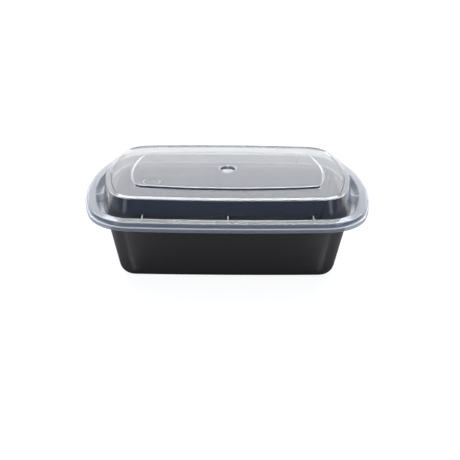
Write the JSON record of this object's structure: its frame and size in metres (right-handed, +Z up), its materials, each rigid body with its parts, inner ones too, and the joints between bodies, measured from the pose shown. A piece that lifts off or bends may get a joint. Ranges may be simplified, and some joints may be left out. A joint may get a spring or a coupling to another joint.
{
  "type": "takeaway meal container",
  "caption": "Rectangular black takeaway tray with rounded corners and tapered walls, shut by a clear domed press-on lid with a raised centre panel; empty.",
  "frame": {"origin": "centre of the tray's flat base, on the surface it stands on", "axes": "+X along the long side, +Y across towards the back, +Z up through the lid"},
  "size_m": [0.222, 0.1466, 0.0732],
  "materials": {
    "tray_plastic": "black moulded polypropylene with a soft sheen",
    "lid_plastic": "clear polypropylene sheet, glossy and slightly milky"
  },
  "bodies": {
    "root": {"tray": "tray_plastic", "lid": "lid_plastic"}
  },
  "joints": []
}
